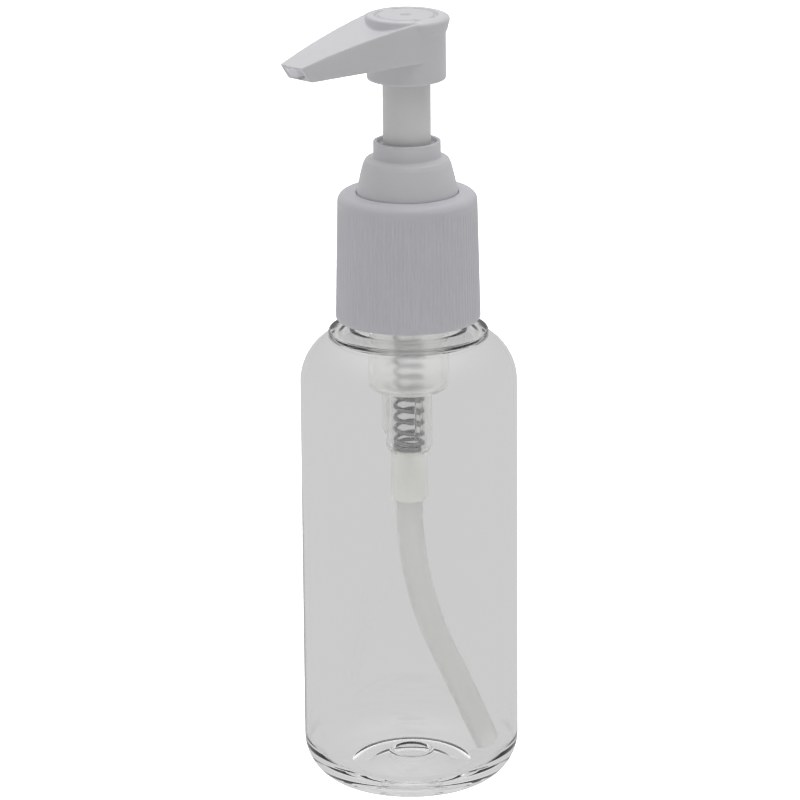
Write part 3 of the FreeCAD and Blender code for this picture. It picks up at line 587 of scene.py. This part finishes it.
def make_housing():
    """The pump cylinder: milky cup, clear barrel with three gussets, and the tube socket."""
    base = NECK_TOP + 2.0
    foot = low("housing").z
    cup, cup_bore, barrel, bore, flange = 7.6, 6.8, 4.4, 3.35, 11.5
    socket, tube, ball_room, seat_hole = 3.4, 2.5, 2.3, 1.2
    seat_top, seat_foot = 62.6, 61.4
    floor = CUP_BOTTOM + cup - cup_bore
    corners = [
        (cup_bore, base, 0.2),
        (cup_bore, floor, 1.0),
        (bore, floor, 0.4),
        (bore, SPRING_SEAT, 0.2),
        (ball_room, SPRING_SEAT, 0.1),
        (ball_room, seat_top, 0.1),
        (seat_hole, seat_foot, 0.1),
        (seat_hole, TUBE_TOP, 0.05),
        (tube, TUBE_TOP, 0.05),
        (tube, foot + 2.9, 0.05),
        (tube + 0.12, foot + 2.7, 0.05),
        (tube + 0.12, foot, 0.1),
        (socket, foot, 0.25),
        (socket, BARREL_BOTTOM, 0.25),
        (barrel - 0.7, BARREL_BOTTOM, 0.2),
        (barrel, BARREL_BOTTOM + 1.3, 0.4),
        (barrel, CUP_BOTTOM, 0.3),
        (cup, CUP_BOTTOM, 1.8),
        (cup, base - 1, 0.2),
        (flange, base - 1, 0.15),
        (flange, base, 0.15),
    ]
    parts = [lathe(soften(corners), 160)]
    reach, inner, half, gusset_foot = 5.15, 4.1, 0.4, 68.3
    side = [
        (inner, gusset_foot),
        (barrel, gusset_foot),
        (reach - 0.15, gusset_foot + 1.2),
        (reach, gusset_foot + 1.6),
        (reach, CUP_BOTTOM + 0.3),
        (inner, CUP_BOTTOM + 0.3),
    ]
    for number in range(GUSSETS):
        turn = Matrix.Rotation(GUSSET_TURN + number * 2 * math.pi / GUSSETS, 3, "Z")
        vertices = [
            tuple(turn @ Vector((across, y, along))) for y in (-half, half) for across, along in side
        ]
        count = len(side)
        faces = [tuple(range(count)), tuple(range(2 * count - 1, count - 1, -1))]
        faces += [(n, (n + 1) % count, count + (n + 1) % count, count + n) for n in range(count)]
        parts.append((vertices, faces))
    piece = new_object("housing_moulding", *joined(*parts))
    finish_piece(piece, "housing", "pump_core", "milky_pp",
                 MATERIALS["cup"], MATERIALS["barrel"], MATERIALS["socket"])
    barrel_slot, socket_slot = 1, 2
    for face in piece.data.polygons:
        level = face.center.z / MM
        if level < BARREL_BOTTOM + 0.05:
            face.material_index = socket_slot
        elif level < CUP_BOTTOM - 0.01:
            face.material_index = barrel_slot
    return piece


TUBE_BEND_START, TUBE_BEND = 54.0, 67.5
TUBE_ANGLE, TUBE_RUN, TUBE_TURN = math.radians(24.5), 23.6, math.radians(65)
TUBE_RAD, TUBE_BORE = 2.5, 1.9


def make_dip_tube():
    """The bent suction tube, hollow, with square-cut ends."""
    route = [(0, TUBE_TOP - k * (TUBE_TOP - TUBE_BEND_START) / 6) for k in range(6)]
    bend_steps, run_steps = 40, 12
    for k in range(bend_steps + 1):
        angle = TUBE_ANGLE * k / bend_steps
        route.append((TUBE_BEND * (1 - math.cos(angle)), TUBE_BEND_START - TUBE_BEND * math.sin(angle)))
    end = route[-1]
    for k in range(1, run_steps + 1):
        run = TUBE_RUN * k / run_steps
        route.append((end[0] + run * math.sin(TUBE_ANGLE), end[1] - run * math.cos(TUBE_ANGLE)))
    turn = Matrix.Rotation(TUBE_TURN, 3, "Z")
    points = [turn @ Vector((across, 0, along)) for across, along in route]
    count = 48
    outer = sweep(points, ring_of(TUBE_RAD, count), closed_ends=False)
    inner = sweep(points, ring_of(TUBE_BORE, count), closed_ends=False)
    vertices, faces = joined(outer, inner)
    shift = len(outer[0])
    for row in (0, (len(points) - 1) * count):
        faces += [(row + n, row + (n + 1) % count, shift + row + (n + 1) % count, shift + row + n)
                  for n in range(count)]
    piece = new_object("dip_tube_hollow", vertices, faces, smooth_angle=50)
    return finish_piece(piece, "dip_tube", "pump_core", "milky_pe", MATERIALS["tube"])


SPRING_TOP = 94.9


def make_spring():
    """The left-handed spring with closed end coils."""
    wire, mean = 0.4, 2.6
    closed = 1.15
    free = SPRING_TOP - SPRING_SEAT - 2 * wire
    working = 11.9
    turns = working + 2 * closed
    end_pitch = 2 * wire + 0.02
    open_pitch = (free - 2 * closed * end_pitch) / working
    per_turn = 40
    points = []
    level = SPRING_SEAT + wire
    for k in range(round(turns * per_turn) + 1):
        angle = 2 * math.pi * k / per_turn
        points.append((mean * math.cos(angle), -mean * math.sin(angle), level))
        turn = k / per_turn
        inside = min(turn - closed, turns - closed - turn)
        share = min(1.0, max(0.0, 0.5 + inside / 0.6))
        level += (end_pitch + (open_pitch - end_pitch) * share) / per_turn
    scale = free / (points[-1][2] - points[0][2])
    points = [(x, y, SPRING_SEAT + wire + (z - points[0][2]) * scale) for x, y, z in points]
    piece = new_object("spring_coil", *sweep(points, ring_of(wire, 14)), smooth_angle=60)
    finish_piece(piece, "spring", "pump_core", "spring_steel", MATERIALS["spring"])
    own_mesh(piece)
    return piece


# ---------------------------------------------------------------- head

PAD_TOP = high("head").z
PAD_RAD = 7.4
VOXEL = 0.13
EASE_FACTOR = 0.5
EASE_ROUNDS = 16
GRAVE = 0.45
GRAVE_SLOPE = 0.2
MARK_RING = 5.55
MOUTH_HALF, MOUTH_LEVEL, MOUTH_REACH, MOUTH_START = 2.0, 143.1, 0.95, -18.0


def arc_mark(x, y, radius, start, end, half_width):
    """Distance outside a round-ended arc stroke about the axis, in millimetres."""
    angle = math.degrees(math.atan2(y, x)) % 360
    middle = (start + end) / 2
    off = (angle - middle + 180) % 360 - 180
    spread = (end - start) / 2
    if abs(off) <= spread:
        return abs(math.hypot(x, y) - radius) - half_width
    near = math.radians(middle + math.copysign(spread, off))
    return math.hypot(x - radius * math.cos(near), y - radius * math.sin(near)) - half_width


def arrow_mark(x, y, radius, at, size):
    """Distance outside a small arrowhead on the ring, pointing along it."""
    near = math.radians(at)
    dx, dy = x - radius * math.cos(near), y - radius * math.sin(near)
    along = -dx * math.sin(near) + dy * math.cos(near)
    across = abs(dx * math.cos(near) + dy * math.sin(near))
    return max(across - (size - along) * 0.62, -along - 0.15 * size, along - size)


def pad_marks(x, y):
    """How far outside the pad's generic turn marks a point lies: two arrows round the edge and a dot."""
    found = math.hypot(x / 1.25, y) - 0.8
    for start, end in ((20, 148), (200, 328)):
        found = min(found, arc_mark(x, y, MARK_RING, start, end, 0.3))
    for at in (152, 332):
        found = min(found, arrow_mark(x, y, MARK_RING, at, 1.4))
    for at in (12, 192):
        near = math.radians(at)
        dot = math.hypot(x - MARK_RING * math.cos(near), y - MARK_RING * math.sin(near)) - 0.46
        found = min(found, dot)
    return found


def make_head():
    """The push head, remeshed from its CAD solid so that every edge has a moulded rounding."""
    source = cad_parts["head"]
    mesh = source.data.copy()
    mesh.transform(source.matrix_world)
    mesh.transform(Matrix.Scale(1 / MM, 4))
    piece = bpy.data.objects.new("head_moulding", mesh)
    bpy.context.scene.collection.objects.link(piece)
    remesh = piece.modifiers.new("even", "REMESH")
    remesh.mode = "VOXEL"
    remesh.voxel_size = VOXEL
    ease = piece.modifiers.new("ease", "SMOOTH")
    ease.factor = EASE_FACTOR
    ease.iterations = EASE_ROUNDS
    graph = bpy.context.evaluated_depsgraph_get()
    made = bpy.data.meshes.new_from_object(piece.evaluated_get(graph), depsgraph=graph)
    piece.modifiers.clear()
    piece.data = made
    co = np.empty(len(made.vertices) * 3)
    made.vertices.foreach_get("co", co)
    co = co.reshape(-1, 3)
    top = np.where((co[:, 2] > PAD_TOP - 0.12) & (np.hypot(co[:, 0], co[:, 1]) < PAD_RAD - 0.5))[0]
    for index in top:
        outside = pad_marks(co[index, 0], co[index, 1])
        co[index, 2] -= GRAVE * min(1.0, max(0.0, 0.5 - outside / GRAVE_SLOPE))
    made.vertices.foreach_set("co", (co * MM).ravel())
    made.update()
    made.shade_smooth()
    finish_piece(piece, "head", "head", "white_head", MATERIALS["head"], MATERIALS["mouth"])
    # Faces at the spout's mouth take the white with the painted glow.
    for face in made.polygons:
        across, along, level = face.center / MM
        if abs(across) < MOUTH_HALF and abs(level - MOUTH_LEVEL) < MOUTH_REACH and along < MOUTH_START:
            face.material_index = 1
    return piece


# ---------------------------------------------------------------- carried-over CAD nodes

def dress(node):
    """A CAD node that keeps its own mesh gets its material."""
    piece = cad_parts[node]
    for place in piece.material_slots:
        place.material = MATERIALS[node]


# ---------------------------------------------------------------- floor, light, camera

FLOOR_HALF = 6.0
FLOOR_DROP = 0.00002
FLOOR_COLOUR = (0.985, 0.985, 0.985)
FLOOR_GREY = (0.80, 0.80, 0.80)
FLOOR_GLOW = 0.61
FLOOR_LIFT = 0.9
SKY_STRENGTH = 2.6
SKY_POWER = 4.0
SKY_LOW = 0.12
ROOM_TOP = 1.4
ROOM_LOW = 0.59


def make_floor():
    """A plain pale matt surface: white to the camera, an even glow in clear and glossy pieces."""
    level = CAD_BOX[0][2] - FLOOR_DROP
    mesh = bpy.data.meshes.new("floor")
    corners = [(x * FLOOR_HALF, y * FLOOR_HALF, level) for x, y in ((-1, -1), (1, -1), (1, 1), (-1, 1))]
    mesh.from_pydata(corners, [], [(0, 1, 2, 3)])
    floor = bpy.data.objects.new("floor", mesh)
    bpy.context.scene.collection.objects.link(floor)
    n = Nodes("pale_floor")
    paper = n.tint(n.noise(3.0, 3.0), darker(FLOOR_COLOUR, 0.985), FLOOR_COLOUR)
    ray = n.node("ShaderNodeLightPath")
    camera_ray, diffuse_ray = ray.outputs["Is Camera Ray"], ray.outputs["Is Diffuse Ray"]
    mix = n.node("ShaderNodeMix")
    mix.data_type = "RGBA"
    n.link(camera_ray, mix.inputs["Factor"])
    mix.inputs[6].default_value = (*FLOOR_GREY, 1)
    n.link(paper, mix.inputs[7])
    n.link(mix.outputs[2], n.shader.inputs["Base Color"])
    n.set(Roughness=0.9, Specular_IOR_Level=0.1)
    n.shader.inputs["Emission Color"].default_value = (1, 1, 1, 1)
    n.link(arithmetic(n.tree, "MULTIPLY", camera_ray, FLOOR_LIFT), n.shader.inputs["Emission Strength"])
    glow = n.node("ShaderNodeEmission", Strength=FLOOR_GLOW)
    n.blend(n.larger(camera_ray, diffuse_ray), glow.outputs[0], n.shader.outputs[0])
    n.material.cycles.emission_sampling = "NONE"
    mesh.materials.append(n.material)


def make_sky():
    """A soft light tent, brightest overhead, that clear and glossy pieces see as an even room."""
    world = bpy.data.worlds.new("tent")
    bpy.context.scene.world = world
    world.use_nodes = True
    world.cycles.sampling_method = "NONE"
    tree = world.node_tree
    background = tree.nodes["Background"]
    background.inputs["Color"].default_value = (1, 1, 1, 1)
    place = tree.nodes.new("ShaderNodeTexCoord")
    split = tree.nodes.new("ShaderNodeSeparateXYZ")
    tree.links.new(place.outputs["Generated"], split.inputs[0])
    upwards = arithmetic(tree, "MAXIMUM", split.outputs["Z"], 0.0)
    overhead = arithmetic(tree, "POWER", upwards, SKY_POWER)
    sky = arithmetic(tree, "MULTIPLY_ADD", overhead, SKY_STRENGTH, SKY_LOW)
    room = arithmetic(tree, "MULTIPLY_ADD", overhead, ROOM_TOP, ROOM_LOW)
    ray = tree.nodes.new("ShaderNodeLightPath")
    choose = tree.nodes.new("ShaderNodeMix")
    tree.links.new(ray.outputs["Is Diffuse Ray"], choose.inputs["Factor"])
    tree.links.new(room, choose.inputs["A"])
    tree.links.new(sky, choose.inputs["B"])
    tree.links.new(choose.outputs[0], background.inputs["Strength"])


LAMP_AIM = Vector((0, 0, 0.09))
LAMP_WIDE, LAMP_TALL = 0.5, 0.7
LAMP_POWER = 0.8
LAMP_ASIDE, LAMP_BEHIND, LAMP_HEIGHT = 0.8, 0.6, 0.35


def softbox(name, side):
    """A rectangular area light behind the object, to the camera's right (1) or left (-1)."""
    data = bpy.data.lights.new(name, "AREA")
    data.shape = "RECTANGLE"
    data.size = LAMP_WIDE
    data.size_y = LAMP_TALL
    data.energy = LAMP_POWER
    lamp = bpy.data.objects.new(name, data)
    right = Vector((math.cos(AZIMUTH), math.sin(AZIMUTH), 0))
    behind = Vector((-math.sin(AZIMUTH), math.cos(AZIMUTH), 0))
    lamp.location = right * LAMP_ASIDE * side + behind * LAMP_BEHIND + Vector((0, 0, LAMP_HEIGHT))
    lamp.rotation_mode = "QUATERNION"
    lamp.rotation_quaternion = (LAMP_AIM - lamp.location).to_track_quat("-Z", "Y")
    lamp.visible_glossy = False
    lamp.visible_transmission = False
    bpy.context.scene.collection.objects.link(lamp)


AZIMUTH = math.radians(44)
ELEVATION = math.radians(16.6)
DISTANCE = 0.95
FRAME_HEIGHT = 800 / 5290
SENSOR_WIDTH = 36
VIEW_END = 50
AIM_HEIGHT = 0.0751
AIM_SIDE = -0.00168
ROLL = math.radians(0.47)


def make_camera():
    """A long lens looking slightly down at the spout's near side."""
    data = bpy.data.cameras.new("camera")
    data.sensor_width = SENSOR_WIDTH
    data.lens = DISTANCE * SENSOR_WIDTH / FRAME_HEIGHT
    data.clip_end = VIEW_END
    camera = bpy.data.objects.new("camera", data)
    right = Vector((math.cos(AZIMUTH), math.sin(AZIMUTH), 0))
    back = Vector((math.sin(AZIMUTH) * math.cos(ELEVATION), -math.cos(AZIMUTH) * math.cos(ELEVATION),
                   math.sin(ELEVATION)))
    aim = Vector((0, 0, AIM_HEIGHT)) + right * AIM_SIDE
    camera.location = aim + back * DISTANCE
    camera.rotation_mode = "QUATERNION"
    turn = (-back).to_track_quat("-Z", "Y")
    camera.rotation_quaternion = turn @ Matrix.Rotation(-ROLL, 3, "Z").to_quaternion()
    bpy.context.scene.collection.objects.link(camera)
    bpy.context.scene.camera = camera


make_bottle()
make_closure()
make_chaplet()
make_stem()
make_housing()
make_dip_tube()
make_spring()
make_head()
for node_name in ("gasket", "ball", "valve_core", "piston"):
    dress(node_name)
make_floor()
make_sky()
softbox("left_box", -1)
softbox("right_box", 1)
make_camera()
bpy.context.scene.view_settings.view_transform = "Standard"
cycles = bpy.context.scene.cycles
cycles.max_bounces = 24
cycles.glossy_bounces = 16
cycles.transmission_bounces = 24
